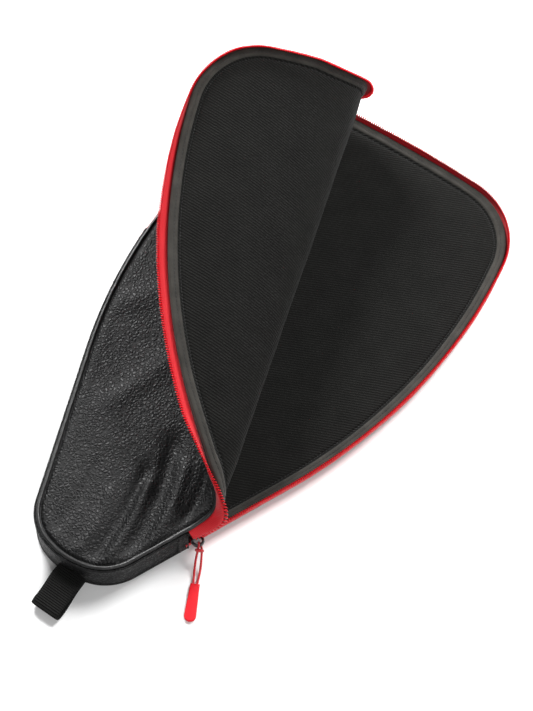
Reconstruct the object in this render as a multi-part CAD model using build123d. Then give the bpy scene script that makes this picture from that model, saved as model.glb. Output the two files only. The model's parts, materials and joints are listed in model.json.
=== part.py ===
"""Paddle case: a padded, zipped cover for a short wide-faced racket paddle, laid open.

Frame: origin at the centre of the back panel's outer face, +Z from the back panel to the front
cover, +Y towards the wide end, +X towards the side where the zip starts. Millimetres.

The case is drawn closed and flat, as it is cut and sewn. The front cover is cut into strips by
hinge lines that fan out from one point beside the case, and each strip is then turned about the
hinge lines before it, so the written model shows the cover peeled back over itself.
"""
import os
from math import cos, degrees, pi, radians, sin, tan

from build123d import *

# ---- outline of the case, seen from the front: radius and turn of each arc, handle end first ----
TAPER = radians(22.2)             # angle of the straight sides to the centre line
END_RADIUS = 60.0                 # across the handle end
END_TURN = 0.30
HANDLE_CORNER_RADIUS = 37.0
SIDE_STRAIGHT = 123.0             # straight run of the tapering side
SIDE_RADIUS = 419.0
SIDE_TURN = 0.588
TOP_CORNER_RADIUS = 61.0
TOP_CORNER_TURN = 1.323

# ---- thicknesses, from the back panel's outer face at z = 0 to the cover's outer face ----
THICKNESS = 26.0
LEATHER = 1.2
FOAM = 3.5
LINING = 0.8
PANEL = LEATHER + FOAM + LINING
PANEL_INSET = 1.7                 # panels stop inside the piping
PIPING_RADIUS = 1.5
PIPING_CORE_RADIUS = 0.8
PIPING_INSET = 0.2
PIPING_HEIGHT = 2.2               # piping centre, from the nearer outer face
WALL_OUT = -0.2                   # side wall's faces, inward of the outline
WALL_IN = 1.0
WALL_START = 3.8                  # side wall's edge, from the nearer outer face
WALL_LINING = 0.8
BINDING_INSET = 2.4
BINDING_WIDTH = 2.5
BINDING_HEIGHT = 2.5

# ---- zip ----
TAPE_OUT = -1.4                   # the zip bulges outward of the side wall
TAPE_IN = -0.6
COIL_OUT = -2.2
COIL_IN = 0.2
COIL_HEIGHT = 1.4
COIL_GAP = 1.2                    # between the two coils when closed, for the slider's post
ZIP_START = 46.0                  # along the right straight side, from the handle corner
ZIP_LEFT_END = (-115.0, 29.0)     # the zip's other end, by the left side wall
END_TAB_LENGTH = 6.0
END_TAB_OUT = 1.1                 # end tabs lie on the side wall, outward of the outline
END_TAB_IN = 0.3
GAP = 0.4                         # between neighbouring cover strips and wall ends

# ---- cover hinge lines: angle from +Y about the fan's centre, and turn from closed to open ----
FAN_DISTANCE = 115.0              # fan centre to the zip's start
HINGE_ANGLES = [-23.2, -18.9, -16.7, -14.6, -6.5]
HINGE_TURNS = [24.5, 37.6, 44.6, 37.6, 22.4]

# ---- slider and pull ----
SLIDER_CENTRE = 48.2              # along the right straight side
SLIDER_LENGTH = 9.0
SLIDER_WIDTH = 8.8
PLATE_THICK = 1.2
OUTER_PLATE = 2.5                 # inner face of the outer plate, outward of the outline
INNER_PLATE = -1.9
POST_THICK = 0.8
POST_LENGTH = 1.5
BRIDGE_RADIUS = 0.7
BRIDGE_REACH = 7.4                # bridge bar centre line, outward of the outline
CORD_RADIUS = 0.8
PULL_TAB_THICK = 2.2
PULL_ALONG = -0.637               # pull direction: share along the zip, and share outward
PULL_OUT = 0.768

# ---- hanging loop ----
LOOP_X = 8.0
LOOP_WIDTH = 22.0
LOOP_THICK = 1.2
LOOP_ROOT_Z = 11.1
LOOP_TIP_Z = 5.2
LOOP_REACH = 28.6                 # root to the centre of the tip's bend
LOOP_TIP_RADIUS = 3.4
LOOP_SEAM = 1.0                   # bare stitching between the hinge line and the doubled webbing

FAR = 900.0                       # longer than anything in the case
MID_Z = THICKNESS / 2


def half_segments():
    """The right half of the outline as (radius, turn) arcs and one (None, length) straight."""
    return [
        (END_RADIUS, END_TURN),
        (HANDLE_CORNER_RADIUS, pi / 2 - TAPER - END_TURN),
        (None, SIDE_STRAIGHT),
        (SIDE_RADIUS, SIDE_TURN),
        (TOP_CORNER_RADIUS, TOP_CORNER_TURN),
    ]


def step_along(x, y, heading, segment, grow):
    """Move along one segment of the outline moved outward by grow."""
    radius, amount = segment
    if radius is None:
        return x + amount * cos(heading), y + amount * sin(heading), heading
    reach = radius + grow
    turned = heading + amount
    return (x + reach * (sin(turned) - sin(heading)),
            y - reach * (cos(turned) - cos(heading)), turned)


def closing_arc():
    """Radius and half turn of the flat arc across the wide end, and the whole length."""
    x, y, heading = 0.0, 0.0, 0.0
    for segment in half_segments():
        x, y, heading = step_along(x, y, heading, segment, 0.0)
    half_turn = pi - heading
    radius = x / sin(half_turn)
    return radius, half_turn, y + radius * (1 - cos(half_turn))


CLOSING_RADIUS, CLOSING_TURN, LENGTH = closing_arc()
END_Y = -LENGTH / 2


def outline(grow):
    """Closed wire of the case's outline moved outward by grow."""
    half = half_segments()
    segments = half + [(CLOSING_RADIUS, 2 * CLOSING_TURN)] + half[::-1]
    x, y, heading = 0.0, END_Y - grow, 0.0
    edges = []
    for segment in segments:
        radius, amount = segment
        after = step_along(x, y, heading, segment, grow)
        if radius is None:
            edges.append(Edge.make_line((x, y), after[:2]))
        else:
            middle = step_along(x, y, heading, (radius, amount / 2), grow)
            edges.append(Edge.make_three_point_arc((x, y), middle[:2], after[:2]))
        x, y, heading = after
    return Wire(edges)


def slab(grow, low, high):
    return Pos(0, 0, low) * extrude(Face(outline(grow)), high - low, dir=(0, 0, 1))


def ring(outer, inner, low, high):
    """Band between two offsets of the outline; both are distances inside it."""
    return slab(-outer, low, high) - slab(-inner, low, high)


def piping(radius, height):
    """Round cord along the panel's edge."""
    path = outline(-PIPING_INSET)
    section = Plane(origin=(0, END_Y + PIPING_INSET, 0), z_dir=(1, 0, 0)) * Circle(radius)
    return Pos(0, 0, height) * sweep(section, path=path)


def on_straight(distance, outward=0.0, height=0.0):
    """Point by the right straight side, from the handle corner towards the wide end."""
    x, y, heading = 0.0, END_Y, 0.0
    for segment in half_segments()[:2]:
        x, y, heading = step_along(x, y, heading, segment, 0.0)
    return Vector(x + distance * cos(heading) + outward * sin(heading),
                  y + distance * sin(heading) - outward * cos(heading), height)


ZIP_POINT = on_straight(ZIP_START)
ZIP_ALONG = Vector(sin(TAPER), cos(TAPER), 0)


def ruling(angle):
    return Vector(sin(radians(angle)), cos(radians(angle)), 0)


FAN = ZIP_POINT - ruling(HINGE_ANGLES[0]) * FAN_DISTANCE + Vector(0, 0, THICKNESS)


def sector(low, high):
    """Upright prism between two rulings of the fan, with half a gap taken off each side."""
    half = (high - low) / 2
    start = FAN + ruling((low + high) / 2) * (GAP / 2 / sin(radians(min(half, 90.0))))
    steps = 4
    points = [start] + [start + ruling(low + (high - low) * i / steps) * FAR for i in range(steps + 1)]
    flat = [(point.X, point.Y) for point in points]
    return Pos(0, 0, -THICKNESS) * extrude(make_face(Polyline(*flat, close=True)), 3 * THICKNESS,
                                           dir=(0, 0, 1))


def side_of_zip_ends(sign):
    """Upright prism on the wide end's side (+1) or the handle's side (-1) of both zip ends."""
    right = on_straight(ZIP_START - END_TAB_LENGTH)
    left = Vector(*ZIP_LEFT_END, 0)
    along = (left - right).normalized()
    across = Vector(along.Y, -along.X, 0) * sign
    base = right + across * GAP / 2
    corners = [base - along * FAR, base + along * FAR, base + (along + across) * FAR,
               base + (across - along) * FAR]
    flat = [(corner.X, corner.Y) for corner in corners]
    return Pos(0, 0, -THICKNESS) * extrude(make_face(Polyline(*flat, close=True)), 3 * THICKNESS,
                                           dir=(0, 0, 1))


def opened(shape, strip):
    """Turn a closed-position shape of cover strip 1..5 to where it lies when open."""
    for number in range(strip, 0, -1):
        hinge = Axis(FAN, -ruling(HINGE_ANGLES[number - 1]))
        shape = shape.rotate(hinge, HINGE_TURNS[number - 1])
    return shape


def write(name, shape):
    shape.label = name
    export_step(shape, os.path.join("parts", name + ".step"))


# ---- back panel and side wall ----
def back_pieces():
    wall_top = THICKNESS - WALL_START
    handle_side = side_of_zip_ends(-1)
    zip_side = side_of_zip_ends(1)
    coil_top = MID_Z - COIL_GAP / 2
    core = piping(PIPING_CORE_RADIUS, PIPING_HEIGHT)
    return {
        "back_shell": slab(-PANEL_INSET, 0, LEATHER),
        "back_foam": slab(-PANEL_INSET, LEATHER, LEATHER + FOAM),
        "back_lining": slab(-PANEL_INSET, LEATHER + FOAM, PANEL),
        "back_piping": piping(PIPING_RADIUS, PIPING_HEIGHT) - core,
        "back_piping_core": core,
        "back_binding": ring(BINDING_INSET, BINDING_INSET + BINDING_WIDTH, PANEL,
                             PANEL + BINDING_HEIGHT),
        "side_gusset": ring(WALL_OUT, WALL_IN, WALL_START, wall_top) & handle_side,
        "side_gusset_lining": ring(WALL_IN, WALL_IN + WALL_LINING, PANEL, THICKNESS - PANEL) & handle_side,
        "zip_tape_back": ring(TAPE_OUT, TAPE_IN, WALL_START, coil_top - COIL_HEIGHT) & zip_side,
        "zip_coil_back": ring(COIL_OUT, COIL_IN, coil_top - COIL_HEIGHT, coil_top) & zip_side,
    }


# ---- front cover, in closed position ----
def cover_layers():
    coil_bottom = MID_Z + COIL_GAP / 2
    tape = ring(TAPE_OUT, TAPE_IN, coil_bottom + COIL_HEIGHT, THICKNESS - WALL_START)
    coil = ring(COIL_OUT, COIL_IN, coil_bottom, coil_bottom + COIL_HEIGHT)
    slider_room = Pos(ZIP_POINT.X, ZIP_POINT.Y, MID_Z) * Cylinder(24.0, THICKNESS)
    zip_side = side_of_zip_ends(1)
    return {
        "front_shell": slab(-PANEL_INSET, THICKNESS - LEATHER, THICKNESS),
        "front_foam": slab(-PANEL_INSET, THICKNESS - LEATHER - FOAM, THICKNESS - LEATHER),
        "front_lining": slab(-PANEL_INSET, THICKNESS - PANEL, THICKNESS - LEATHER - FOAM),
        "front_piping": piping(PIPING_RADIUS, THICKNESS - PIPING_HEIGHT),
        "front_binding": ring(BINDING_INSET, BINDING_INSET + BINDING_WIDTH,
                              THICKNESS - PANEL - BINDING_HEIGHT, THICKNESS - PANEL),
        "zip_tape_front": tape & zip_side - slider_room,
        "zip_coil_front": coil & zip_side - slider_room,
    }


def zip_end_tabs():
    """Leather tabs sewn over the two ends of the zip."""
    band = ring(-END_TAB_OUT, -END_TAB_IN, WALL_START + 0.2, THICKNESS - WALL_START - 0.2)
    reach = 12.0
    right = on_straight(ZIP_START - 1.5 * END_TAB_LENGTH - GAP)
    turn = Rot(0, 0, 90 - degrees(TAPER))
    right_box = Pos(right.X, right.Y, MID_Z) * turn * Box(END_TAB_LENGTH, reach, THICKNESS)
    left_x, left_y = ZIP_LEFT_END
    left_box = Pos(left_x, left_y - 1.5 * END_TAB_LENGTH, MID_Z) * Box(2 * reach, END_TAB_LENGTH, THICKNESS)
    return {"zip_end_tab_right": band & right_box, "zip_end_tab_left": band & left_box}


# ---- slider and pull ----
SLIDER_PLANE = Plane(origin=on_straight(SLIDER_CENTRE, 0, MID_Z), x_dir=ZIP_ALONG, z_dir=(0, 0, 1))


def slider_box(along, out_low, out_high, length, width):
    """Block beside the zip: along the zip, outward, and centred on the zip's height."""
    middle = (out_low + out_high) / 2
    return SLIDER_PLANE * Pos(along, -middle, 0) * Box(length, out_high - out_low, width)


def at_slider(along, outward, height):
    return on_straight(SLIDER_CENTRE + along, outward, height)


def along_pull(distance, side, height):
    """Point by the pull's centre line, which leaves the middle of the bridge bar."""
    return at_slider(PULL_ALONG * distance + PULL_OUT * side,
                     BRIDGE_REACH + PULL_OUT * distance - PULL_ALONG * side, height)


def slider_body():
    outer = slider_box(0, OUTER_PLATE, OUTER_PLATE + PLATE_THICK, SLIDER_LENGTH, SLIDER_WIDTH)
    inner = slider_box(0, INNER_PLATE, INNER_PLATE + PLATE_THICK, SLIDER_LENGTH, SLIDER_WIDTH)
    post_place = SLIDER_LENGTH / 2 - POST_LENGTH
    post = slider_box(post_place, INNER_PLATE, OUTER_PLATE + PLATE_THICK, POST_LENGTH, POST_THICK)
    return outer + inner + post


def slider_bridge():
    foot = OUTER_PLATE + PLATE_THICK
    corners = [at_slider(along, outward, MID_Z) for along, outward in
               [(-3.6, foot), (-3.2, BRIDGE_REACH), (3.2, BRIDGE_REACH), (3.6, foot)]]
    path = FilletPolyline(*corners, radius=1.4)
    return sweep(Plane(origin=corners[0], z_dir=corners[1] - corners[0]) * Circle(BRIDGE_RADIUS),
                 path=path)


PULL_CORD_ROUTE = [
    along_pull(24.4, -1.3, 1.1),
    along_pull(16.0, -2.0, 1.5),
    along_pull(8.0, -1.9, 6.8),
    at_slider(-1.0, 8.1, 15.4),
    at_slider(0.0, 5.0, 13.0),
    at_slider(1.0, 8.1, 10.6),
    along_pull(8.0, 1.9, 5.2),
    along_pull(16.0, 2.1, 1.4),
    along_pull(24.4, 1.3, 1.1),
]


def route_radii(points):
    """Each corner's arc, as large as its two runs allow."""
    radii = []
    for before, corner, after in zip(points, points[1:], points[2:]):
        turn = radians((corner - before).get_angle(after - corner))
        shorter = min((corner - before).length, (after - corner).length)
        radii.append(0.45 * shorter / tan(turn / 2))
    return radii


def pull_cord():
    radii = route_radii(PULL_CORD_ROUTE)
    path = FilletPolyline(*PULL_CORD_ROUTE, radius=radii)
    start = Plane(origin=PULL_CORD_ROUTE[0], z_dir=PULL_CORD_ROUTE[1] - PULL_CORD_ROUTE[0])
    cord = sweep(start * Circle(CORD_RADIUS), path=path)
    print("pull cord radii", [round(radius, 1) for radius in radii])
    print("pull cord length", round(path.length, 1), "volume ratio",
          round(cord.volume / (pi * CORD_RADIUS ** 2 * path.length), 3))
    return cord


def pull_tab():
    """Moulded rubber tab, wider at its free end."""
    corners = [(25.2, -2.4, 0.8), (25.2, 2.4, 0.8), (48.0, 0.0, 4.2)]
    edges = ShapeList()
    for distance, side, radius in corners:
        centre = along_pull(distance, side, 0)
        edges += (Pos(centre.X, centre.Y) * Circle(radius)).edges()
    profile = make_hull(edges)
    tab = extrude(profile, PULL_TAB_THICK, dir=(0, 0, 1))
    return fillet(tab.faces().filter_by(Axis.Z).edges(), 0.6)


# ---- hanging loop ----
def hang_loop():
    """Webbing folded double: a flat root at the side wall and a teardrop eye."""
    root = END_Y - 0.3
    side = Plane(origin=(LOOP_X - LOOP_WIDTH / 2, 0, 0), x_dir=(0, 1, 0), z_dir=(1, 0, 0))
    neck = Pos(root - 7.0, LOOP_ROOT_Z) * Circle(0.3)
    tip = Pos(root - LOOP_REACH, LOOP_TIP_Z) * Circle(LOOP_TIP_RADIUS)
    eye = make_hull(neck.edges() + tip.edges())
    band = offset(eye, LOOP_THICK) - eye
    strap_length = 7.4 - LOOP_SEAM
    strap = Pos(root - LOOP_SEAM - strap_length / 2, LOOP_ROOT_Z) * Rectangle(strap_length, 2 * LOOP_THICK)
    return extrude(side * (band + (strap - eye)), LOOP_WIDTH)


def main():
    os.makedirs("parts", exist_ok=True)
    print("length", round(LENGTH, 1), "fan centre", FAN, "zip start", ZIP_POINT)
    for name, shape in back_pieces().items():
        write(name, shape)
    for name, shape in zip_end_tabs().items():
        write(name, shape)
    fixed = sector(HINGE_ANGLES[0] - 150.0, HINGE_ANGLES[0])
    limits = HINGE_ANGLES + [110.0]
    for name, shape in cover_layers().items():
        write(name, shape & fixed)
        for strip in range(1, len(HINGE_ANGLES) + 1):
            piece = shape & sector(limits[strip - 1], limits[strip])
            write(name + "_" + str(strip), opened(piece, strip))
    write("slider_body", slider_body())
    write("slider_bridge", slider_bridge())
    write("pull_cord", pull_cord())
    write("pull_tab", pull_tab())
    write("hang_loop", hang_loop())


main()
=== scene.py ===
"""Looks of the paddle case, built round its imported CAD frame.

The case is drawn as it is sewn, closed and flat: a place on the back or on the cover is (x, y, depth),
in millimetres, where depth is measured inward from that panel's outer face. The cover's places are
then carried to where they lie with the cover peeled open, with the frame's own hinges.
"""
import json
from math import ceil, cos, pi, radians, sin

import bmesh
import bpy
import numpy as np
from mathutils import Matrix, Vector


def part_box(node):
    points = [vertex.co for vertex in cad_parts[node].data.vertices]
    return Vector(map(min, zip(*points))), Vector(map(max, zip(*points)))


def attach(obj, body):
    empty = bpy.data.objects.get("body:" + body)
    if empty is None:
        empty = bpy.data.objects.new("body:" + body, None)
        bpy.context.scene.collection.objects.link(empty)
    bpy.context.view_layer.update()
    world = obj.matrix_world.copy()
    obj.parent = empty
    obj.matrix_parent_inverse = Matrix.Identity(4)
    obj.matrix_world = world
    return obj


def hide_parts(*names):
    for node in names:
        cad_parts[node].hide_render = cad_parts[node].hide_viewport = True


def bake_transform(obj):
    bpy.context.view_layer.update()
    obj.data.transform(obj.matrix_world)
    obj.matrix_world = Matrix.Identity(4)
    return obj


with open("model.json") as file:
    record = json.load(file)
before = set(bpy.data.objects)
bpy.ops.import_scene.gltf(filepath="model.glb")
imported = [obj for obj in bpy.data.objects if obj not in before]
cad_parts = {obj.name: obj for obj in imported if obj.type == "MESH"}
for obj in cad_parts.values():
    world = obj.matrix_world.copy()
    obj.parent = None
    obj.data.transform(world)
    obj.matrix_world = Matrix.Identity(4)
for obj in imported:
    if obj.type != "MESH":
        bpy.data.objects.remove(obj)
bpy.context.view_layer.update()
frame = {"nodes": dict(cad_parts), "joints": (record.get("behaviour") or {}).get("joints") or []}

MM = 0.001
JOINTS = {joint["name"]: joint for joint in frame["joints"]}

# ---- the outline that the case is cut to, from the handle end ----
# (radius, turn) of each arc, or (None, length) of a straight; the arc over the top is worked out.
TAPER = radians(22.2)
END_TURN = 0.30
HALF_OUTLINE = [
    (60.0, END_TURN),                     # across the handle end
    (37.0, pi / 2 - TAPER - END_TURN),    # handle corner
    (None, 123.0),                        # straight side
    (419.0, 0.588),                       # long side curve
    (61.0, 1.323),                        # top corner
]
THICKNESS = 26.0
ZIP_HEIGHT = THICKNESS / 2                # where the two rows of coil meet
PANEL = 5.5                               # depth of the lining's face
ZIP_START = 46.0                          # along the straight side
SLIDER_CENTRE = 48.2                      # along the straight side
ZIP_LEFT_END_Y = 29.0
FAN_ANGLES = [-23.2, -18.9, -16.7, -14.6, -6.5]
STRIPS = len(FAN_ANGLES)
FLAP = STRIPS + 1                         # the cover region beyond the last fold

# ---- colours, linear ----
LEATHER_DARK = (0.0016, 0.0016, 0.0018, 1)
LEATHER_LIGHT = (0.0045, 0.0045, 0.0048, 1)
LINING_DARK = (0.0010, 0.0010, 0.0009, 1)
LINING_LIGHT = (0.0125, 0.0125, 0.0115, 1)
BINDING_DARK = (0.009, 0.0085, 0.0075, 1)
BINDING_LIGHT = (0.040, 0.037, 0.032, 1)
RED = (0.62, 0.002, 0.010, 1)
RED_DARK = (0.36, 0.001, 0.006, 1)
BLACK = (0.006, 0.006, 0.006, 1)


# =====================================================================================
# camera, light and floor
# =====================================================================================
def put(thing):
    bpy.context.scene.collection.objects.link(thing)


def face_origin(away):
    return (-away).to_track_quat("-Z", "Y").to_euler()


def camera():
    azimuth, elevation, distance = radians(35.91), radians(59.63), 1.5
    lens = bpy.data.cameras.new("camera")
    lens.sensor_width = 36.0
    lens.lens = 104.658
    lens.shift_x = 0.02349
    lens.shift_y = -0.00492
    lens.clip_end = 20
    away = Vector((sin(azimuth) * cos(elevation), -cos(azimuth) * cos(elevation), sin(elevation)))
    eye = bpy.data.objects.new("camera", lens)
    eye.location = away * distance
    eye.rotation_euler = face_origin(away)
    put(eye)
    bpy.context.scene.camera = eye


def lamps():
    table = [
        ("key", (-1.2, 0.7, 1.0), 0.5, 50.0),
        ("fill", (1.1, -0.9, 1.5), 1.0, 16.0),
        ("top", (0.3, 1.2, 1.3), 0.7, 42.0),
    ]
    for name, place, size, power in table:
        lamp = bpy.data.lights.new(name, "AREA")
        lamp.size = size
        lamp.energy = power
        lit = bpy.data.objects.new(name, lamp)
        lit.location = place
        lit.rotation_euler = face_origin(Vector(place))
        put(lit)
    world = bpy.data.worlds.new("world")
    world.use_nodes = True
    world.node_tree.nodes["Background"].inputs["Color"].default_value = (1, 1, 1, 1)
    world.node_tree.nodes["Background"].inputs["Strength"].default_value = 0.20
    bpy.context.scene.world = world
    bpy.context.scene.view_settings.view_transform = "Standard"


def floor():
    """A wide sheet just under the case, so that the two don't share a plane."""
    reach = 6.0
    sheet = bpy.data.meshes.new("floor")
    sheet.from_pydata([(-reach, -reach, 0), (reach, -reach, 0), (reach, reach, 0), (-reach, reach, 0)],
                      [], [(0, 1, 2, 3)])
    ground = bpy.data.objects.new("floor", sheet)
    ground.location.z = -0.0004
    put(ground)
    paper = bpy.data.materials.new("floor")
    paper.use_nodes = True
    shader = paper.node_tree.nodes["Principled BSDF"]
    shader.inputs["Base Color"].default_value = (0.93, 0.93, 0.93, 1)
    shader.inputs["Roughness"].default_value = 0.9
    sheet.materials.append(paper)


# =====================================================================================
# materials
# =====================================================================================
class Shader:
    """A node material; its pattern lies on the sewn-flat UV map or in object space, both in metres."""

    def __init__(self, name, roughness, sheen=0.0, coat=0.0, specular=0.5, object_space=False):
        self.material = bpy.data.materials.new(name)
        self.material.use_nodes = True
        self.nodes = self.material.node_tree.nodes
        self.links = self.material.node_tree.links
        self.out = self.nodes["Principled BSDF"]
        self.out.inputs["Roughness"].default_value = roughness
        self.out.inputs["Sheen Weight"].default_value = sheen
        self.out.inputs["Coat Weight"].default_value = coat
        self.out.inputs["Specular IOR Level"].default_value = specular
        place = self.nodes.new("ShaderNodeTexCoord")
        self.place = place.outputs["Object" if object_space else "UV"]

    def add(self, kind, inputs=(), **settings):
        node = self.nodes.new(kind)
        for name, value in settings.items():
            setattr(node, name, value)
        for name, value in inputs:
            if isinstance(value, bpy.types.NodeSocket):
                self.links.new(value, node.inputs[name])
            else:
                node.inputs[name].default_value = value
        return node

    def noise(self, scale, detail=3.0, distortion=0.0):
        node = self.add("ShaderNodeTexNoise", [("Vector", self.place), ("Scale", scale),
                                               ("Detail", detail), ("Distortion", distortion)])
        return node.outputs["Fac"]

    def wave(self, scale, distortion, direction):
        node = self.add("ShaderNodeTexWave", [("Vector", self.place), ("Scale", scale),
                                              ("Distortion", distortion)], bands_direction=direction)
        return node.outputs["Fac"]

    def cells(self, place, scale):
        """Rounded cells: 0 on their edges, 1 in their middles."""
        node = self.add("ShaderNodeTexVoronoi", [("Vector", place), ("Scale", scale)],
                        feature="DISTANCE_TO_EDGE")
        return self.soft(node.outputs["Distance"], 0.0, 0.30)

    def turned(self, angle, scale):
        return self.add("ShaderNodeMapping", [("Vector", self.place), ("Rotation", (0, 0, angle)),
                                              ("Scale", scale)]).outputs["Vector"]

    def math(self, operation, first, second):
        return self.add("ShaderNodeMath", [(0, first), (1, second)], operation=operation).outputs[0]

    def spread(self, value, low, high, to_low=0.0, to_high=1.0):
        return self.add("ShaderNodeMapRange", [("Value", value), ("From Min", low), ("From Max", high),
                                               ("To Min", to_low), ("To Max", to_high)]).outputs["Result"]

    def soft(self, value, low, high):
        return self.add("ShaderNodeMapRange", [("Value", value), ("From Min", low), ("From Max", high)],
                        interpolation_type="SMOOTHSTEP").outputs["Result"]

    def mix(self, amount, first, second):
        node = self.add("ShaderNodeMix", data_type="RGBA")
        for socket, value in ((node.inputs[0], amount), (node.inputs[6], first), (node.inputs[7], second)):
            if isinstance(value, bpy.types.NodeSocket):
                self.links.new(value, socket)
            else:
                socket.default_value = value
        return node.outputs[2]

    def colour(self, value):
        if isinstance(value, bpy.types.NodeSocket):
            self.links.new(value, self.out.inputs["Base Color"])
        else:
            self.out.inputs["Base Color"].default_value = value

    def roughness(self, value):
        self.links.new(value, self.out.inputs["Roughness"])

    def bump(self, layers):
        """layers: (height socket, distance in metres, strength)"""
        normal = None
        for height, distance, strength in layers:
            node = self.add("ShaderNodeBump", [("Height", height), ("Distance", distance),
                                               ("Strength", strength)])
            if normal is not None:
                self.links.new(normal, node.inputs["Normal"])
            normal = node.outputs["Normal"]
        self.links.new(normal, self.out.inputs["Normal"])


def leather(name="pebbled_leather", object_space=False):
    shader = Shader(name, 0.45, specular=0.22, object_space=object_space)
    wander = shader.add("ShaderNodeTexNoise", [("Vector", shader.place), ("Scale", 260.0)]).outputs["Color"]
    wander = shader.add("ShaderNodeVectorMath", [(0, wander), (1, (0.0007, 0.0007, 0.0007))],
                        operation="MULTIPLY").outputs[0]
    place = shader.add("ShaderNodeVectorMath", [(0, shader.place), (1, wander)]).outputs[0]
    pebbles = shader.cells(place, 390.0)
    small = shader.cells(place, 1050.0)
    patches = shader.noise(28.0, 4.0)
    tone = shader.math("MULTIPLY", pebbles, shader.spread(patches, 0.3, 0.75, 0.55, 1.0))
    shader.colour(shader.mix(tone, LEATHER_DARK, LEATHER_LIGHT))
    shader.roughness(shader.spread(pebbles, 0.0, 1.0, 0.62, 0.40))
    shader.bump([(patches, 0.0026, 0.5), (pebbles, 0.00030, 0.85), (small, 0.00005, 0.4)])
    return shader.material


def smooth_leather():
    shader = Shader("piping_leather", 0.42, specular=0.45)
    grain = shader.noise(900.0, 4.0)
    streak = shader.noise(160.0, 3.0)
    shader.colour(shader.mix(streak, LEATHER_DARK, LEATHER_LIGHT))
    shader.roughness(shader.spread(grain, 0.3, 0.7, 0.34, 0.55))
    shader.bump([(streak, 0.0006, 0.5), (grain, 0.00012, 0.6)])
    return shader.material


def lining():
    """Fine ribbed knit: rows of small stitches across the case."""
    shader = Shader("knit_lining", 0.95, sheen=0.03, specular=0.10)
    wander = shader.noise(55.0, 3.0)
    rib_place = shader.turned(radians(-26.0), (1, 1, 1))
    ribs = shader.add("ShaderNodeTexWave", [("Vector", rib_place), ("Scale", 160.0), ("Distortion", 1.0),
                                            ("Detail", 2.0), ("Detail Scale", 2.2)],
                      wave_type="BANDS", bands_direction="Y", wave_profile="SIN").outputs["Fac"]
    loops = shader.add("ShaderNodeTexVoronoi", [("Vector", shader.turned(radians(-26.0), (700, 1500, 1))),
                                                ("Scale", 1.0)]).outputs["Distance"]
    fuzz = shader.noise(1400.0, 2.0)
    stitches = shader.math("MULTIPLY", ribs, shader.spread(loops, 0.1, 0.8, 1.0, 0.35))
    tone = shader.math("MULTIPLY", shader.spread(stitches, 0.0, 0.9, 0.30, 1.0),
                       shader.spread(wander, 0.3, 0.7, 0.75, 1.05))
    shader.colour(shader.mix(tone, LINING_DARK, LINING_LIGHT))
    shader.out.inputs["Sheen Roughness"].default_value = 0.5
    shader.bump([(stitches, 0.00055, 0.9), (fuzz, 0.00018, 0.6)])
    return shader.material


def binding():
    shader = Shader("seam_binding", 0.88, sheen=0.1, specular=0.18)
    weave = shader.wave(420.0, 0.6, "X")
    worn = shader.noise(90.0, 4.0)
    tone = shader.math("MULTIPLY", shader.spread(weave, 0.0, 1.0, 0.65, 1.0),
                       shader.spread(worn, 0.3, 0.7, 0.45, 1.1))
    shader.colour(shader.mix(tone, BINDING_DARK, BINDING_LIGHT))
    shader.bump([(worn, 0.0008, 0.5), (weave, 0.00014, 0.6)])
    return shader.material


def zip_tape():
    shader = Shader("zip_tape", 0.62, sheen=0.15, specular=0.3)
    cloth = shader.math("MULTIPLY", shader.wave(520.0, 0.4, "Y"), shader.wave(330.0, 0.4, "X"))
    shader.colour(shader.mix(shader.spread(cloth, 0.0, 0.8, 0.45, 1.0), RED_DARK, RED))
    shader.bump([(cloth, 0.00014, 0.7)])
    return shader.material


def red_plastic(name, roughness, grain):
    shader = Shader(name, roughness, specular=0.25, object_space=True)
    mottle = shader.noise(grain, 3.0)
    shader.colour(shader.mix(shader.spread(mottle, 0.3, 0.7, 0.7, 1.0), RED_DARK, RED))
    shader.bump([(mottle, 0.00008, 0.5)])
    return shader.material


def braided_cord():
    shader = Shader("braided_cord", 0.6, sheen=0.2, object_space=True)
    braid = shader.wave(360.0, 1.0, "DIAGONAL")
    shader.colour(shader.mix(braid, RED_DARK, RED))
    shader.bump([(braid, 0.0002, 0.7)])
    return shader.material


def enamel():
    shader = Shader("black_enamel", 0.28, specular=0.6, object_space=True)
    wear = shader.noise(420.0, 4.0)
    shader.colour(shader.mix(shader.spread(wear, 0.35, 0.75), BLACK, (0.02, 0.02, 0.022, 1)))
    shader.roughness(shader.spread(wear, 0.3, 0.7, 0.22, 0.42))
    shader.bump([(wear, 0.00006, 0.4)])
    return shader.material


def webbing():
    shader = Shader("ribbed_webbing", 0.8, specular=0.12)
    fibre = shader.wave(620.0, 1.5, "X")
    worn = shader.noise(120.0, 3.0)
    shader.colour(shader.mix(shader.math("MULTIPLY", fibre, worn), BLACK, (0.012, 0.012, 0.011, 1)))
    shader.bump([(fibre, 0.00012, 0.6)])
    return shader.material


def thread(name, colour):
    shader = Shader(name, 0.7, object_space=True)
    twist = shader.noise(1800.0, 2.0)
    shader.colour(shader.mix(twist, tuple(0.5 * c for c in colour[:3]) + (1,), colour))
    shader.bump([(twist, 0.0001, 0.6)])
    return shader.material


# =====================================================================================
# outline
# =====================================================================================
def step_along(x, y, heading, segment, part=1.0):
    radius, amount = segment
    if radius is None:
        return x + part * amount * cos(heading), y + part * amount * sin(heading), heading
    turned = heading + part * amount
    return (x + radius * (sin(turned) - sin(heading)), y - radius * (cos(turned) - cos(heading)), turned)


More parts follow.
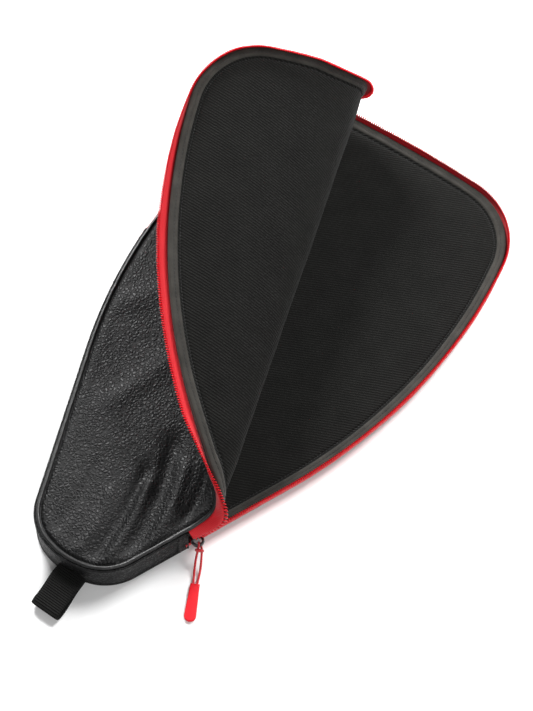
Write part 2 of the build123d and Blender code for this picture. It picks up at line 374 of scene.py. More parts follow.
def outline_table(step=0.8):
    """Rows of (distance along, x, y, outward x, outward y) round the case from the handle end."""
    x, y, heading = 0.0, 0.0, 0.0
    for segment in HALF_OUTLINE:
        x, y, heading = step_along(x, y, heading, segment)
    half_turn = pi - heading
    closing = x / sin(half_turn)
    length = y + closing * (1 - cos(half_turn))
    segments = HALF_OUTLINE + [(closing, 2 * half_turn)] + HALF_OUTLINE[::-1]
    rows, distance = [], 0.0
    x, y, heading = 0.0, -length / 2, 0.0
    for segment in segments:
        radius, amount = segment
        run = amount if radius is None else radius * amount
        count = max(4, ceil(run / step))
        for index in range(count):
            px, py, facing = step_along(x, y, heading, segment, index / count)
            rows.append((distance + run * index / count, px, py, sin(facing), -cos(facing)))
        x, y, heading = step_along(x, y, heading, segment)
        distance += run
    rows.append((distance, x, y, sin(heading), -cos(heading)))
    return np.array(rows)


RIM = outline_table()
PERIMETER = RIM[-1, 0]
HANDLE_CORNER = sum(radius * turn for radius, turn in HALF_OUTLINE[:2])
S_START = HANDLE_CORNER + ZIP_START
LEFT_ROWS = RIM[(RIM[:, 1] < 0) & (RIM[:, 2] < ZIP_LEFT_END_Y)]
S_LEFT = float(LEFT_ROWS[0, 0])


def rim(distance, grow=0.0):
    """(x, y) beside the outline, at a distance along it and grow mm outward."""
    s = np.mod(distance, PERIMETER)
    x, y, nx, ny = (np.interp(s, RIM[:, 0], RIM[:, column]) for column in range(1, 5))
    return x + grow * nx, y + grow * ny


def inset(x, y):
    """How far inside the outline each place is."""
    shape = np.shape(x)
    flat = np.stack([np.ravel(x), np.ravel(y)], 1)
    out = np.empty(len(flat))
    for start in range(0, len(flat), 4000):
        part = flat[start:start + 4000]
        gap = part[:, None, :] - RIM[None, :, 1:3]
        nearest = np.argmin((gap ** 2).sum(2), 1)
        rows = RIM[nearest]
        out[start:start + 4000] = -((part - rows[:, 1:3]) * rows[:, 3:5]).sum(1)
    return out.reshape(shape)


# =====================================================================================
# where the cover lies when peeled open
# =====================================================================================
FAN = np.array(JOINTS["cover_peel_1"]["pos_m"]) * 1000.0
HINGES = [JOINTS["cover_peel_%d" % number] for number in range(1, STRIPS + 1)]
EDGES = [FAN_ANGLES[0] - 2.0]
EDGES += [(a + b) / 2 for a, b in zip(FAN_ANGLES, FAN_ANGLES[1:])]
EDGES += [FAN_ANGLES[-1] + 3.75]
BODIES = ["case"] + ["cover_strip_%d" % number for number in range(1, STRIPS + 1)]


def closed_to_open():
    """The turn of each cover body from closed to open, the case itself first."""
    turns = [np.eye(3)]
    for hinge in HINGES:
        turn = Matrix.Rotation(-radians(hinge["range_deg"][0]), 3, Vector(hinge["axis"]))
        turns.append(np.array(turn) @ turns[-1])
    return turns


TURNS = closed_to_open()


def ruling(angle):
    angle = np.radians(angle)
    return np.stack([np.sin(angle), np.cos(angle), np.zeros_like(angle)], -1)


def fan_angle(x, y):
    return np.degrees(np.arctan2(x - FAN[0], y - FAN[1]))


def carried(angle):
    """Direction from the fan's centre and outward normal of the open cover, for fan angles."""
    angle = np.asarray(angle, float)
    along = ruling(angle)
    facing = np.broadcast_to(np.array([0.0, 0.0, 1.0]), along.shape).copy()
    last = angle > EDGES[-1]
    along[last] = along[last] @ TURNS[-1].T
    facing[last] = facing[last] @ TURNS[-1].T
    for number in range(1, STRIPS + 1):
        low, high = EDGES[number - 1], EDGES[number]
        here = (angle > low) & (angle <= high)
        if not here.any():
            continue
        first = TURNS[number - 1] @ ruling(low)
        corner = TURNS[number - 1] @ ruling(FAN_ANGLES[number - 1])
        final = TURNS[number] @ ruling(high)
        t = ((angle[here] - low) / (high - low))[:, None]
        place = (1 - t) ** 2 * first + 2 * t * (1 - t) * corner + t ** 2 * final
        across = (1 - t) * (corner - first) + t * (final - corner)
        normal = np.cross(across, place)
        along[here] = place
        facing[here] = normal / np.linalg.norm(normal, axis=1)[:, None]
    return along, facing


def on_cover(x, y, depth):
    """Places on the cover, closed, to where they lie open. Millimetres."""
    x, y, depth = np.broadcast_arrays(np.asarray(x, float), y, depth)
    own = fan_angle(x, y)
    reach = np.hypot(x - FAN[0], y - FAN[1])
    along, facing = carried(own.ravel())
    places = FAN + along * reach.ravel()[:, None] - facing * depth.ravel()[:, None]
    return places.reshape(x.shape + (3,))


def on_back(x, y, depth):
    x, y, depth = np.broadcast_arrays(np.asarray(x, float), y, depth)
    return np.stack([x, y, depth], -1)


def rim_runs():
    """Stretches of the outline by cover region: (region 0 to FLAP, from, to)."""
    rows = RIM[:-1]
    region = np.searchsorted(np.array(EDGES), fan_angle(rows[:, 1], rows[:, 2]))
    near = (rows[:, 0] > S_START - 12) & (rows[:, 0] < PERIMETER)
    region = np.where(near, region, 0)
    starts = [0] + [i for i in range(1, len(rows)) if region[i] != region[i - 1]] + [len(rows)]
    runs = []
    for a, b in zip(starts, starts[1:]):
        runs.append((int(region[a]), rows[a, 0], rows[b, 0] if b < len(rows) else PERIMETER))
    return runs


RUNS = rim_runs()


# =====================================================================================
# meshes
# =====================================================================================
class Pile:
    """Collects grids of points, in millimetres, and becomes one smooth mesh in metres."""

    def __init__(self):
        self.points, self.faces, self.uvs, self.count = [], [], [], 0

    def grid(self, points, uv, wrap=False):
        """points (n, m, 3); uv (n, m or m + 1 if wrapped, 2)"""
        n, m = points.shape[:2]
        index = self.count + np.arange(n * m).reshape(n, m)
        if wrap:
            index = np.concatenate([index, index[:, :1]], 1)
        uv = np.asarray(uv) * MM
        a, b, c, d = index[:-1, :-1], index[1:, :-1], index[1:, 1:], index[:-1, 1:]
        self.faces.append(np.stack([a, b, c, d], -1).reshape(-1, 4))
        ua, ub, uc, ud = uv[:-1, :-1], uv[1:, :-1], uv[1:, 1:], uv[:-1, 1:]
        self.uvs.append(np.stack([ua, ub, uc, ud], 2).reshape(-1, 2))
        self.points.append(points.reshape(-1, 3))
        self.count += n * m

    def copies(self, points, faces):
        """points (k, v, 3) with the same quads for each copy"""
        k, v = points.shape[:2]
        all_faces = faces[None] + (self.count + v * np.arange(k))[:, None, None]
        self.faces.append(all_faces.reshape(-1, 4))
        self.uvs.append(np.zeros((all_faces.size, 2)))
        self.points.append(points.reshape(-1, 3))
        self.count += k * v

    def finish(self, name, material):
        points = np.concatenate(self.points) * MM
        faces = np.concatenate(self.faces)
        mesh = bpy.data.meshes.new(name)
        mesh.from_pydata(points.tolist(), [], faces.tolist())
        layer = mesh.uv_layers.new(name="UVMap")
        layer.data.foreach_set("uv", np.concatenate(self.uvs).ravel().astype(np.float32))
        mesh.shade_smooth()
        mesh.materials.append(material)
        piece = bpy.data.objects.new(name, mesh)
        put(piece)
        weld = bmesh.new()
        weld.from_mesh(mesh)
        bmesh.ops.remove_doubles(weld, verts=weld.verts, dist=2e-7)
        bmesh.ops.dissolve_degenerate(weld, edges=weld.edges, dist=1e-8)
        bmesh.ops.recalc_face_normals(weld, faces=weld.faces)
        weld.to_mesh(mesh)
        weld.free()
        return piece


def span(start, end, step):
    return np.linspace(start, end, max(2, ceil(abs(end - start) / step) + 1))


def band(pile, place, start, end, profile, step=1.6, wrap=False, wave=None):
    """A strip along the outline with the same section throughout: profile rows are (grow, depth)."""
    s = span(start, end, step)
    profile = np.asarray(profile, float)
    grow, depth = profile[None, :, 0], profile[None, :, 1]
    if wave is not None:
        add_grow, add_depth = wave(s[:, None], profile[None, :, 0], profile[None, :, 1])
        grow, depth = grow + add_grow, depth + add_depth
    shape = (len(s), len(profile))
    grow, depth = np.broadcast_to(grow, shape), np.broadcast_to(depth, shape)
    x, y = rim(np.broadcast_to(s[:, None], shape), grow)
    across = np.concatenate([[0], np.cumsum(np.hypot(*np.diff(profile, axis=0).T))])
    if wrap:
        across = np.append(across, across[-1] + np.hypot(*(profile[0] - profile[-1])))
    uv = np.stack(np.broadcast_arrays(s[:, None], across[None, :]), -1)
    pile.grid(place(x, y, depth), uv, wrap)


def circle(grow, depth, radius, sides=12):
    turn = np.arange(sides) * 2 * pi / sides
    return np.stack([grow + radius * np.cos(turn), depth + radius * np.sin(turn)], 1)


def soft_noise(x, y, size, seed):
    """Smooth waves about size mm long, from -1 to 1."""
    rng = np.random.default_rng(seed)
    total = np.zeros(np.shape(x))
    for _ in range(7):
        heading, phase, stretch = rng.uniform(0, 2 * pi), rng.uniform(0, 2 * pi), rng.uniform(0.7, 1.6)
        total = total + np.sin((x * cos(heading) + y * sin(heading)) * 2 * pi / (size * stretch) + phase)
    return total / 7


def fan_grid(region, margin, columns, rows):
    """Grid of (x, y) over one cover region, to margin mm inside the outline, along the fan's rulings."""
    x, y = rim(RIM[:-1, 0], -margin)
    angle, reach = fan_angle(x, y), np.hypot(x - FAN[0], y - FAN[1])
    low = max(EDGES[region - 1], angle.min()) if region else angle.min()
    high = min(EDGES[region], angle.max()) if region < FLAP else angle.max()
    t = np.linspace(0, 1, columns)
    if region == 0:
        t = t ** 2
    if region == FLAP:
        t = 1 - (1 - t) ** 2
    angles = low + (high - low) * t
    first, last = int(np.argmin(angle)), int(np.argmax(angle))
    order = np.arange(len(angle))
    near = np.roll(order, -first)[: (last - first) % len(order) + 1]
    far = np.roll(order, -last)[: (first - last) % len(order) + 1]
    near_reach = np.interp(angles, angle[near], reach[near])
    far_reach = np.interp(angles, angle[far][::-1], reach[far][::-1])
    u = (1 - np.cos(pi * np.linspace(0, 1, rows))) / 2
    r = near_reach[:, None] + (far_reach - near_reach)[:, None] * u[None, :]
    direction = ruling(angles)
    return FAN[0] + direction[:, None, 0] * r, FAN[1] + direction[:, None, 1] * r


# Columns and rows of each cover region's grid, from the part that stays flat to the flap.
GRID_SIZE = [(230, 130), (14, 130), (12, 130), (10, 130), (16, 130), (20, 130), (90, 120)]


# =====================================================================================
# the panels
# =====================================================================================
# Folds in the leather of the cover: from, to, half width, height; millimetres.
LEATHER_FOLDS = [
    ((17, -202), (6, -132), 4.6, -2.8),
    ((26, -198), (15, -142), 4.2, 2.2),
    ((36, -184), (10, -104), 6.2, -3.4),
    ((6, -202), (-3, -160), 4.0, 1.5),
    ((44, -172), (28, -116), 4.8, 2.4),
    ((52, -158), (42, -108), 4.4, -2.6),
    ((44, -96), (24, -20), 9.0, 1.8),
    ((-18, -198), (-24, -150), 5.0, -0.8),
    ((-50, -110), (-34, -50), 8.0, 1.2),
    ((-88, -30), (-56, 20), 9.0, 1.4),
]


def folds(x, y, table):
    total = np.zeros(np.shape(x))
    for start, end, width, height in table:
        ax, ay = start
        dx, dy = end[0] - ax, end[1] - ay
        long = dx * dx + dy * dy
        t = ((x - ax) * dx + (y - ay) * dy) / long
        side = ((x - ax) * dy - (y - ay) * dx) / long ** 0.5
        bend = 2.0 * np.sin(3.0 * t)
        past = np.maximum(np.abs(t - 0.5) - 0.5, 0) * long ** 0.5
        total = total + height * np.exp(-((side - bend) / width) ** 2 - (past / (1.6 * width)) ** 2)
    return total


def leather_depth(x, y):
    e = inset(x, y)
    edge = 1.5 * np.exp(-((e - 3.2) / 1.7) ** 2) - 0.35 * np.exp(-((e - 8.5) / 4.0) ** 2)
    fade = np.clip((e - 3.2) / 9.0, 0, 1)
    puff = 0.5 * soft_noise(x, y, 62.0, 3) + 0.28 * soft_noise(x, y, 24.0, 4)
    return edge - fade * (puff + folds(x, y, LEATHER_FOLDS)) + 0.6


def lining_depth(x, y):
    e = inset(x, y)
    groove = -0.9 * np.exp(-((e - 9.0) / 1.0) ** 2)
    fade = np.clip((e - 9.0) / 16.0, 0, 1)
    puff = 0.55 * soft_noise(x, y, 80.0, 7) + 0.2 * soft_noise(x, y, 26.0, 8)
    return PANEL + groove + fade * (0.9 + puff) + 0.5 * np.exp(-((e - 6.2) / 1.2) ** 2)


LEATHER_MARGIN = 3.2
LINING_MARGIN = 6.0
# Sections are rows of (outward of the outline, inward from the panel's outer face).
# The seam binding's runs from the lining over its rolled edge to the wall behind it.
BINDING = [(-7.4, 5.1), (-7.0, 6.0), (-6.2, 6.6), (-5.0, 6.9), (-4.3, 6.7), (-3.7, 6.9), (-2.6, 7.3),
           (-1.7, 7.5), (-1.0, 7.4), (-0.5, 7.0), (-0.4, 6.4), (-0.5, 5.6), (-0.4, 4.6)]
TAPE_OUTER = [(-0.5, 2.4), (0.3, 3.3), (1.0, 4.6), (1.6, 6.2), (2.0, 8.0), (2.1, 9.2), (2.0, 10.1)]
COIL_CENTRE = (1.35, 11.3)
# The peeled cover's tape leans outward beside its long edge and inward across its top.
LEAN_AT = [0.0, 0.04, 0.12, 0.30, 0.40, 0.48, 0.56, 0.68, 1.0]
LEAN_ANGLES = [0.0, 0.15, 0.70, 0.75, 0.30, -0.30, -0.55, -0.45, 0.0]
PIPING = (-1.75, 1.5)
PIPING_RADIUS = 1.35


def tape_profile():
    outer = np.array(TAPE_OUTER)
    inner = outer[::-1] - np.array([0.6, 0.0])
    return np.concatenate([outer, [[1.7, 10.4]], inner])


def tooth_template():
    """One coil link as a rounded bar: across the tape, through it and along the zip."""
    rings, sides = 7, 8
    points, faces = [], []
    for i in range(rings):
        v = -1 + 2 * i / (rings - 1)
        full = (1 - abs(v) ** 3.2) ** 0.5 if abs(v) < 1 else 0.15
        for j in range(sides):
            turn = 2 * pi * j / sides
            points.append((v, full * cos(turn), full * sin(turn)))
    for i in range(rings - 1):
        for j in range(sides):
            k = (j + 1) % sides
            faces.append((i * sides + j, i * sides + k, (i + 1) * sides + k, (i + 1) * sides + j))
    return np.array(points), np.array(faces)


TOOTH, TOOTH_FACES = tooth_template()
TOOTH_PITCH = 1.7
TOOTH_REACH = 1.75                        # half its size across the zip
TOOTH_HEIGHT = 0.95                       # half its size off the tape
TOOTH_WIDTH = 0.50                        # half its size along the zip
TOOTH_SLANT = 0.30


def teeth(pile, place, start, end, phase, lean=None):
    """The coil's links between two distances along the outline."""
    first = ceil((start - phase) / TOOTH_PITCH)
    last = int((end - phase) // TOOTH_PITCH)
    if last < first:
        return
    middle = phase + TOOTH_PITCH * np.arange(first, last + 1)
    grow = COIL_CENTRE[0] + TOOTH_HEIGHT * TOOTH[:, 1]
    depth = COIL_CENTRE[1] + TOOTH_REACH * TOOTH[:, 0]
    along = TOOTH_WIDTH * TOOTH[:, 2] + TOOTH_SLANT * TOOTH[:, 1]
    s = middle[:, None] + along[None, :]
    grow, depth = np.broadcast_to(grow, s.shape), np.broadcast_to(depth, s.shape)
    if lean is not None:
        grow, depth = lean(s, grow, depth)
    x, y = rim(s, grow)
    pile.copies(place(x, y, depth), TOOTH_FACES)


def stitches(pile, place, start, end, grow, depth, pitch=3.0, length=2.1, radius=0.24):
    """A row of short threads, each sunk at both ends."""
    count = max(1, int((end - start) / pitch))
    sides = 6
    ring = np.arange(sides) * 2 * pi / sides
    for index in range(count):
        s0 = start + index * (end - start) / count
        t = np.linspace(0, 1, 5)
        sink = 0.35 * np.abs(2 * t - 1) ** 2
        s = s0 + length * t[:, None] + 0 * ring
        g = grow + radius * np.cos(ring)[None, :] + 0 * s
        d = depth - sink[:, None] + radius * np.sin(ring)[None, :]
        x, y = rim(s, g)
        pile.grid(place(x, y, d), np.zeros((len(t), sides + 1, 2)), wrap=True)


def settle(piece, region):
    """Ride on the case or, for the flap, the last strip's body; a piece across a hinge rides on no body."""
    if region == 0:
        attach(piece, "case")
    elif region == FLAP:
        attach(piece, BODIES[5])
    else:
        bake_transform(piece)
    return piece


def region_name(stem, region):
    if region == 0:
        return stem + "_fixed"
    return stem + ("_flap" if region == FLAP else "_curl_%d" % region)


def layer_nodes(stem):
    return [stem] + ["%s_%d" % (stem, number) for number in range(1, STRIPS + 1)]


def replace_nodes(pieces, stems):
    """Each cover layer's CAD strips are stood for by its pieces, strip by strip."""
    for region, piece in pieces.items():
        if region < FLAP:
            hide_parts(*[layer_nodes(stem)[region] for stem in stems])


def cover_panel(stem, depth, margin, material, nodes):
    pieces = {}
    for region in range(FLAP + 1):
        columns, rows = GRID_SIZE[region]
        x, y = fan_grid(region, margin, columns, rows)
        pile = Pile()
        pile.grid(on_cover(x, y, depth(x, y)), np.stack([x, y], -1))
        piece = pile.finish(region_name(stem, region), material)
        pieces[region] = settle(piece, region)
    replace_nodes(pieces, nodes)


def back_panel(name, depth, margin, material, nodes):
    pile = Pile()
    for region in range(FLAP + 1):
        columns, rows = GRID_SIZE[region]
        x, y = fan_grid(region, margin, columns, rows)
        pile.grid(on_back(x, y, depth(x, y)), np.stack([x, y], -1))
    piece = pile.finish(name, material)
    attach(piece, "case")
    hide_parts(*nodes)


def cover_bands(stem, build, material, nodes=(), zip_only=False):
    """A band round the cover's edge, region by region; build(pile, place, start, end)."""
    piles = {}
    for region, start, end in RUNS:
        if zip_only:
            start, end = max(start, S_START - 2), min(end, S_LEFT)
        if end - start < 0.4:
            continue
        build(piles.setdefault(region, Pile()), on_cover, start, end)
    pieces = {}
    for region, pile in sorted(piles.items()):
        piece = pile.finish(region_name(stem, region), material)
        pieces[region] = settle(piece, region)
    if nodes:
        replace_nodes(pieces, nodes)


def back_bands(name, build, material, nodes=(), start=0.0, end=PERIMETER):
    pile = Pile()
    build(pile, on_back, start, end)
    piece = pile.finish(name, material)
    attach(piece, "case")
    if nodes:
        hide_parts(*nodes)


def piping_wave(s, grow, depth):
    return 0.10 * np.sin(s / 2.3) * np.sin(s / 17.0) + 0 * grow, 0.06 * np.sin(s / 3.1 + 1) + 0 * depth


def binding_wave(s, grow, depth):
    lift = 0.25 * np.sin(s / 9.0) + 0.15 * np.sin(s / 3.7 + 2)
    share = np.clip((depth - 5.5) / 3.0, 0, 1)
    return 0.25 * np.sin(s / 12.0 + 1) * share, lift * share


def tape_wave(s, grow, depth):
    share = np.clip((depth - 2.4) / 6.0, 0, 1)
    return (0.22 * np.sin(s / 14.0) + 0.08 * np.sin(s / 4.1)) * share, 0.0 * depth + 0 * s


def cover_lean(s):
    """How far the cover's tape leans outward of square, in radians, at distances along the outline."""
    u = (s - S_START) / (S_LEFT - S_START)
    return np.interp(u, LEAN_AT, LEAN_ANGLES)


def leaning(s, grow, depth):
    """The cover's tape and coil turned about the tape's sewn edge."""
    angle = cover_lean(s)
    pivot = np.where(angle > 0, 2.4, 5.0)
    bent = angle * np.clip((depth - pivot) / 2.5, 0, 1)
    out, down = grow, depth - pivot
    return out * np.cos(bent) + down * np.sin(bent), pivot + down * np.cos(bent) - out * np.sin(bent)


def cover_tape_wave(s, grow, depth):
    add_grow, add_depth = tape_wave(s, grow, depth)
    new_grow, new_depth = leaning(s, grow + add_grow, depth + add_depth)
    return new_grow - grow, new_depth - depth


def build_piping(pile, place, start, end):
    band(pile, place, start, end, circle(*PIPING, PIPING_RADIUS), wrap=True, wave=piping_wave)
    flange = [(-2.9, 2.1), (-3.4, 1.9), (-3.9, 2.2)]
    band(pile, place, start, end, flange)


def build_binding(pile, place, start, end):
    band(pile, place, start, end, BINDING, wave=binding_wave)


def build_binding_stitches(pile, place, start, end):
    stitches(pile, place, start, end, -4.35, 6.95)


def build_lining_stitches(pile, place, start, end):
    stitches(pile, place, start, end, -9.0, PANEL - 0.5, pitch=2.6, length=1.8, radius=0.2)


def build_tape(pile, place, start, end):
    band(pile, place, start, end, tape_profile(), wrap=True, wave=tape_wave)


def build_cover_tape(pile, place, start, end):
    band(pile, place, start, end, tape_profile(), wrap=True, wave=cover_tape_wave)


def build_back_teeth(pile, place, start, end):
    teeth(pile, place, start, end, 0.0)


def build_cover_teeth(pile, place, start, end):
    teeth(pile, place, start, end, TOOTH_PITCH / 2, leaning)


# =====================================================================================
# handle part: gusset, end tabs, loop
# =====================================================================================
# The gusset's section, from one piped seam over the wall to the other.
GUSSET = [(-0.6, 2.6), (-0.2, 1.9), (0.5, 1.7), (1.1, 2.2), (1.25, 3.0), (0.9, 3.8), (0.65, 4.6),
          (0.75, 7.0), (0.95, 10.0), (1.0, 13.0), (0.95, 16.0), (0.75, 19.0), (0.65, 21.4),
          (0.9, 22.2), (1.25, 23.0), (1.1, 23.8), (0.5, 24.3), (-0.2, 24.1), (-0.6, 23.4)]


def gusset_wave(s, grow, depth):
    share = np.sin(np.clip((depth - 3.5) / 19.0, 0, 1) * pi)
    crease = 0.45 * np.sin(s / 6.5 + 0.25 * depth) * np.sin(s / 23.0) + 0.2 * np.sin(s / 3.1 - 0.4 * depth)
    return share * crease, 0.0 * depth + 0.0 * s


def side_gusset(material, lining_material):
    outer, inner = Pile(), Pile()
    wall = [(-1.2, 4.0), (-1.3, 9.0), (-1.2, 13.0), (-1.3, 17.0), (-1.2, 22.0)]
    for start, end in ((0.0, S_START - 4.0), (S_LEFT - 1.0, PERIMETER)):
        band(outer, on_back, start, end, GUSSET, wave=gusset_wave)
        band(inner, on_back, start, end, wall)
    skin = outer.finish("side_gusset_skin", material)
    back = inner.finish("side_gusset_inner", lining_material)
    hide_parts("side_gusset")
    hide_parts("side_gusset_lining")
    for piece, slot_name in ((skin, "outer_leather"), (back, "lining")):
        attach(piece, "case")


def end_tab(name, centre, node, material):
    """Leather patch folded over the end of the zip, with a turned edge at each side."""
    half_wide, half_high = 4.6, 9.8
    s = np.linspace(centre - half_wide, centre + half_wide, 25)
    z = np.linspace(ZIP_HEIGHT - half_high, ZIP_HEIGHT + half_high, 21)
    across = (s - centre) / half_wide
    lift = 1.3 + 0.9 * np.exp(-((across - 0.72) / 0.2) ** 2) + 0.7 * np.exp(-((across + 0.70) / 0.22) ** 2)
    lift = lift - 1.3 * np.clip((np.abs(across) - 0.9) / 0.1, 0, 1)
    ends = np.clip((np.abs((z - ZIP_HEIGHT) / half_high) - 0.9) / 0.1, 0, 1)
    grow = lift[:, None] + 0.15 - 0.9 * ends[None, :]
    x, y = rim(np.broadcast_to(s[:, None], grow.shape), grow)
    pile = Pile()
    pile.grid(on_back(x, y, np.broadcast_to(z[None, :], grow.shape)),
              np.stack(np.broadcast_arrays(s[:, None], z[None, :]), -1))
    piece = pile.finish(name, material)
    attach(piece, "case")
    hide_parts(node)


def hang_loop(material):
    """Webbing folded into an eye, its crosswise ribs in the mesh."""
    low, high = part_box("hang_loop")
    root_y, tip_y = high.y * 1000 + 1.2, low.y * 1000 + 0.8
    middle = (low.x + high.x) * 500
    half = (high.x - low.x) * 500
    route = [(root_y, 12.3), (root_y - 7, 12.6), (root_y - 15, 10.4), (root_y - 23, 8.4),
             (tip_y + 3.2, 7.6), (tip_y + 0.7, 5.9), (tip_y + 0.6, 3.4), (tip_y + 3.0, 1.4),
             (root_y - 22, 2.2), (root_y - 14, 5.0), (root_y - 7, 8.6), (root_y, 10.4)]
    curve = bpy.data.curves.new("loop_route", "CURVE")
    curve.dimensions = "3D"
    spline = curve.splines.new("NURBS")
    spline.points.add(len(route) - 1)
    for point, (y, z) in zip(spline.points, route):
        point.co = (0, y, z, 1)
    spline.order_u = 4
    spline.use_endpoint_u = True
    spline.resolution_u = 40
    holder = bpy.data.objects.new("loop_route", curve)
    line = bpy.data.meshes.new_from_object(holder)
    fine = np.array([vertex.co[:] for vertex in line.vertices])
    bpy.data.objects.remove(holder)
    steps = np.concatenate([[0], np.cumsum(np.linalg.norm(np.diff(fine, axis=0), axis=1))])
    along = np.arange(0, steps[-1], 0.22)
    y, z = np.interp(along, steps, fine[:, 1]), np.interp(along, steps, fine[:, 2])
    ty, tz = np.gradient(y), np.gradient(z)
    size = np.hypot(ty, tz)
    ny, nz = -tz / size, ty / size
    rib_pitch = 1.6
    thick = 0.50 + 0.26 * np.cos(along * 2 * pi / rib_pitch)
    across = np.linspace(-1, 1, 15)
    edge = 1 - 0.55 * np.abs(across) ** 10
    pile = Pile()
    ring = [(a, 1) for a in range(len(across))] + [(a, -1) for a in range(len(across) - 1, -1, -1)]
    points = np.empty((len(along), len(ring), 3))
    for column, (a, sign) in enumerate(ring):
        wobble = 0.25 * np.sin(along / 5.0) * abs(across[a]) ** 3
        points[:, column, 0] = middle + half * across[a] + wobble * np.sign(across[a])
        points[:, column, 1] = y + sign * thick * edge[a] * ny
        points[:, column, 2] = z + sign * thick * edge[a] * nz
    rings = np.arange(len(ring) + 1) * 1.5
    uv = np.stack(np.broadcast_arrays(rings[None, :], along[:, None]), -1)
    pile.grid(points, uv, wrap=True)
    piece = pile.finish("webbing_loop", material)
    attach(piece, "loop")
    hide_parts("hang_loop")


# =====================================================================================
# slider and pull
# =====================================================================================
def on_straight(distance, outward, height):
    x, y = rim(HANDLE_CORNER + distance, outward)
    return np.array([float(x), float(y), height])


def at_slider(along, outward, height):
    return on_straight(SLIDER_CENTRE + along, outward, height)


PULL_ALONG = -0.637                       # the pull's direction along the zip, and outward
PULL_OUT = 0.768
BRIDGE_REACH = 7.4                        # from the outline to the bar that the pull swings on


def along_pull(distance, side, height):
    return at_slider(PULL_ALONG * distance + PULL_OUT * side,
                     BRIDGE_REACH + PULL_OUT * distance - PULL_ALONG * side, height)


PULL_CORD_ROUTE = [
    along_pull(24.4, -1.3, 1.1),
    along_pull(16.0, -2.0, 1.5),
    along_pull(8.0, -1.9, 6.8),
    at_slider(-1.0, 8.1, ZIP_HEIGHT + 2.4),
    at_slider(0.0, 5.0, ZIP_HEIGHT),
    at_slider(1.0, 8.1, ZIP_HEIGHT - 2.4),
    along_pull(8.0, 1.9, 5.2),
    along_pull(16.0, 2.1, 1.4),
    along_pull(24.4, 1.3, 1.1),
]


def prism(name, outline, height, bevel, place, material):
    """Rounded plate: a flat outline, thickened and bevelled; place maps (u, v, w) to millimetres."""
    mesh = bmesh.new()
    base = [mesh.verts.new((u, v, 0)) for u, v in outline]
    face = mesh.faces.new(base)
    top = bmesh.ops.extrude_face_region(mesh, geom=[face])
    bmesh.ops.translate(mesh, verts=[v for v in top["geom"] if isinstance(v, bmesh.types.BMVert)],
                        vec=(0, 0, height))
    rims = [edge for edge in mesh.edges
            if abs(edge.verts[0].co.z - edge.verts[1].co.z) < 1e-6]
    bmesh.ops.bevel(mesh, geom=rims, offset=bevel, segments=4, profile=0.5, affect="EDGES")
    bmesh.ops.recalc_face_normals(mesh, faces=mesh.faces)
    for vertex in mesh.verts:
        vertex.co = Vector(place(*vertex.co)) * MM
    data = bpy.data.meshes.new(name)
    mesh.to_mesh(data)
    mesh.free()
    data.shade_smooth()
    data.materials.append(material)
    piece = bpy.data.objects.new(name, data)
    put(piece)
    return piece


def shield(length, wide, narrow, corners=10):
    """Outline of a slider plate: broad where the zip opens, narrower where it is closed."""
    points = []
    squareness = 3.2
    for index in range(4 * corners):
        turn = 2 * pi * index / (4 * corners)
        u = cos(turn)
        width = narrow + (wide - narrow) * (u + 1) / 2
        square = (abs(u) ** squareness + abs(sin(turn)) ** squareness) ** (-1 / squareness)
        points.append((length / 2 * u * square, width / 2 * sin(turn) * square))
    return points


def slider_plate(name, outward, height, material):
    """A plate that starts at a distance from the outline and is thickened away from it."""
    sign = 1 if outward > 0 else -1

    def place(u, v, w):
        return at_slider(u, outward + sign * w, ZIP_HEIGHT + v)

    return prism(name, shield(9.4, 9.0, 7.2), height, 0.45, place, material)


def slider_post(material):
    """The post that joins the plates and parts the two coils."""
    def place(u, v, w):
        return at_slider(3.7 + u, -1.2 + w, ZIP_HEIGHT + v)

    return prism("slider_post", shield(2.0, 1.4, 0.9), 4.4, 0.2, place, material)


def slider_ring(material):
    """The arched bridge that the pull hangs on."""
    turn = np.linspace(0, pi, 25)
    u, out = 3.7 * np.cos(turn), 3.6 + 4.4 * np.sin(turn) ** 0.8
    sides = 12
    section = np.arange(sides) * 2 * pi / sides
    points = np.empty((len(turn), sides, 3))
    for i in range(len(turn)):
        for j, angle in enumerate(section):
            outward = cos(angle) * 0.95
            points[i, j] = at_slider(u[i] + outward * cos(turn[i]), out[i] + outward * sin(turn[i]),
                                     ZIP_HEIGHT + 2.0 * sin(angle))
    pile = Pile()
    pile.grid(points, np.zeros((len(turn), sides + 1, 2)), wrap=True)
    return pile.finish("slider_ring", material)


def slider(material):
    outer = slider_plate("slider_outer_plate", 2.5, 1.3, material)
    inner = slider_plate("slider_inner_plate", -0.8, 1.1, material)
    post = slider_post(material)
    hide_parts("slider_body")
    bridge = slider_ring(material)
    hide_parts("slider_bridge")
    for piece in (outer, inner, post, bridge):
        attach(piece, "slider")


def pull_loop(material):
    """The doubled cord, from the grip round the bridge and back."""
    curve = bpy.data.curves.new("pull_loop", "CURVE")
    curve.dimensions = "3D"
    spline = curve.splines.new("NURBS")
    spline.points.add(len(PULL_CORD_ROUTE) - 1)
    for point, place in zip(spline.points, PULL_CORD_ROUTE):
        point.co = (*(place * MM), 1)
    spline.order_u = 3
    spline.use_endpoint_u = True
    spline.resolution_u = 24
    curve.bevel_depth = 0.8 * MM
    curve.bevel_resolution = 4
    curve.use_fill_caps = True
    curve.materials.append(material)
    cord = bpy.data.objects.new("pull_loop", curve)
    put(cord)
    return cord


def pull_grip(material):
    """The moulded tab: (along the pull, to the side) of its outline, widening to a round end."""
    corners = [(24.4, -2.9), (24.7, -3.2), (36.0, -3.6), (48.0, -4.15)]
    round_end = [(48.0 + 4.2 * cos(a), 4.2 * sin(a)) for a in np.linspace(-1.25, 1.25, 13)]
    outline = corners + round_end + [(d, -s) for d, s in corners[::-1]]
    return prism("pull_tab_grip", outline, 2.2, 0.55, along_pull, material)


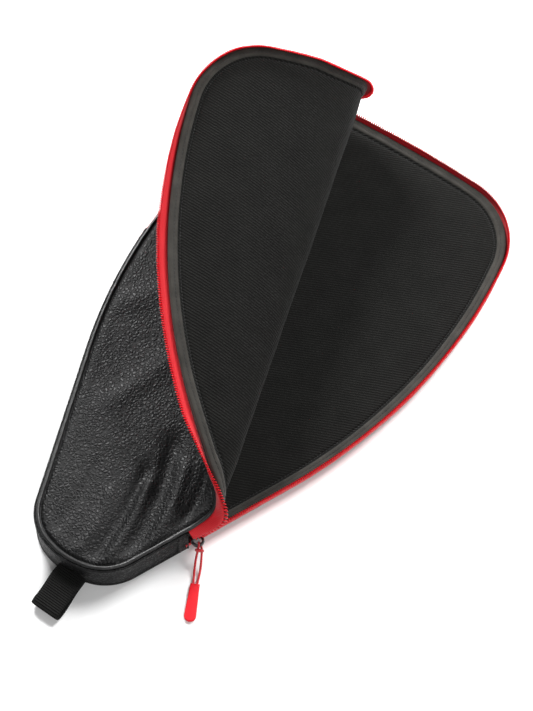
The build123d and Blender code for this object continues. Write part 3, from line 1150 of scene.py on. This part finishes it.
def pull_knot(material):
    """A turn of cord round both legs, close to the bridge."""
    steps, sides, cord_radius = 24, 8, 0.95
    section = np.arange(sides) * 2 * pi / sides
    points = np.empty((steps + 1, sides, 3))
    for i in range(steps + 1):
        a = (i % steps) * 2 * pi / steps
        for j, b in enumerate(section):
            wide = 2.3 + cord_radius * cos(b)
            points[i, j] = along_pull(3.6 + 0.9 * sin(a) + cord_radius * sin(b), wide * cos(a),
                                      10.6 + 2.4 * sin(a) * wide / 2.1)
    pile = Pile()
    pile.grid(points, np.zeros((steps + 1, sides + 1, 2)), wrap=True)
    return pile.finish("pull_knot", material)


def pull(cord_material, tab_material):
    cord = pull_loop(cord_material)
    tab = pull_grip(tab_material)
    knot = pull_knot(cord_material)
    for piece, slot_name in ((cord, "pull_cord"), (knot, "pull_cord"), (tab, "pull_tab")):
        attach(piece, "pull")
    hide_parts("pull_cord")
    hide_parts("pull_tab")
    tuple(at_slider(0, BRIDGE_REACH, 13.0) * MM)


# =====================================================================================
# the whole case
# =====================================================================================
def repaint(node, material):
    mesh = frame["nodes"][node].data
    mesh.materials.clear()
    mesh.materials.append(material)


def main():
    camera()
    lamps()
    floor()
    skin, trim, knit, tape_grey, tape_red = leather(), smooth_leather(), lining(), binding(), zip_tape()
    coil_red = red_plastic("zip_coil", 0.33, 900.0)
    tab_red = red_plastic("pull_rubber", 0.62, 500.0)
    cord_red = braided_cord()
    metal, strap = enamel(), webbing()
    dark_thread = thread("dark_thread", (0.012, 0.012, 0.012, 1))

    repaint("back_shell", leather("pebbled_leather_back", object_space=True))
    cover_panel("cover_leather", leather_depth, LEATHER_MARGIN, skin, ["front_shell"])
    cover_panel("cover_lining", lining_depth, LINING_MARGIN, knit, ["front_lining", "front_foam"])
    back_panel("back_lining_pad", lining_depth, LINING_MARGIN, knit, ["back_lining", "back_foam"])

    cover_bands("cover_piping", build_piping, trim, ["front_piping"])
    cover_bands("cover_binding", build_binding, tape_grey, ["front_binding"])
    cover_bands("cover_binding_thread", build_binding_stitches, dark_thread)
    cover_bands("cover_lining_thread", build_lining_stitches, dark_thread)
    cover_bands("cover_tape", build_cover_tape, tape_red, ["zip_tape_front"], zip_only=True)
    cover_bands("cover_coil", build_cover_teeth, coil_red, ["zip_coil_front"], zip_only=True)

    back_bands("back_piping_tube", build_piping, trim, ["back_piping", "back_piping_core"])
    back_bands("back_binding_tape", build_binding, tape_grey, ["back_binding"])
    back_bands("back_binding_thread", build_binding_stitches, dark_thread)
    back_bands("back_lining_thread", build_lining_stitches, dark_thread)
    back_bands("back_tape", build_tape, tape_red, ["zip_tape_back"], S_START - 6, S_LEFT)
    back_bands("back_coil", build_back_teeth, coil_red, ["zip_coil_back"], S_START - 2, S_LEFT)

    side_gusset(skin, knit)
    end_tab("zip_end_patch_right", S_START - 7.5, "zip_end_tab_right", skin)
    end_tab("zip_end_patch_left", S_LEFT + 4.0, "zip_end_tab_left", skin)
    hang_loop(strap)
    slider(metal)
    pull(cord_red, tab_red)


main()
